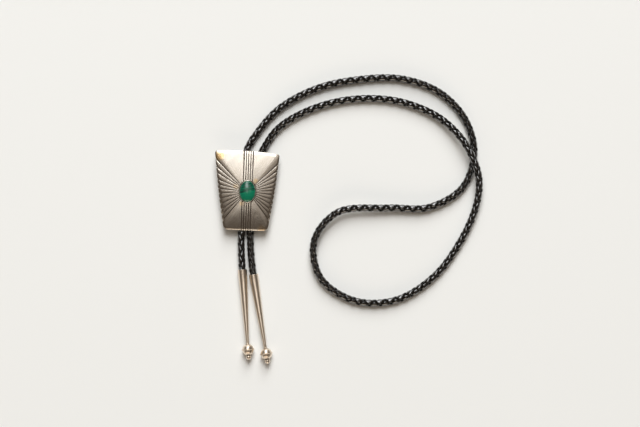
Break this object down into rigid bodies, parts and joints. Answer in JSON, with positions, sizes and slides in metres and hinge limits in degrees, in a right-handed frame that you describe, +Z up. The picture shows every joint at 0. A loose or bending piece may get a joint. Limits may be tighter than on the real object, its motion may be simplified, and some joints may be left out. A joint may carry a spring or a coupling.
{
  "type": "bolo tie",
  "caption": "Bolo tie: keystone silver slide with fluted fans and an oval green stone, on a braided black cord that ends in long conical tips with ball ends.",
  "frame": {"origin": "centre of the back clip's flat underside, straight under the middle of the stone, on the surface that the tie lies on", "axes": "+Z up, away from the surface that the tie lies on and out of the slide's face; +Y along the slide towards its wider top edge; +X to the slide's right"},
  "size_m": [0.1925, 0.2109, 0.0143],
  "materials": {
    "slide_silver": "polished silver, softly worn, darkened in the grooves and lightly tarnished",
    "stone_green": "polished opaque green stone with darker bands",
    "clip_silver": "plain brushed silver-coloured metal",
    "cord_leather": "glossy black braided leather",
    "tip_silver": "polished silver with a warm tone, darkened in the joints"
  },
  "bodies": {
    "root": {"slide_plate": "slide_silver", "stone": "stone_green", "back_clip": "clip_silver", "cord": "cord_leather", "tip_left": "tip_silver", "tip_right": "tip_silver"}
  },
  "joints": []
}
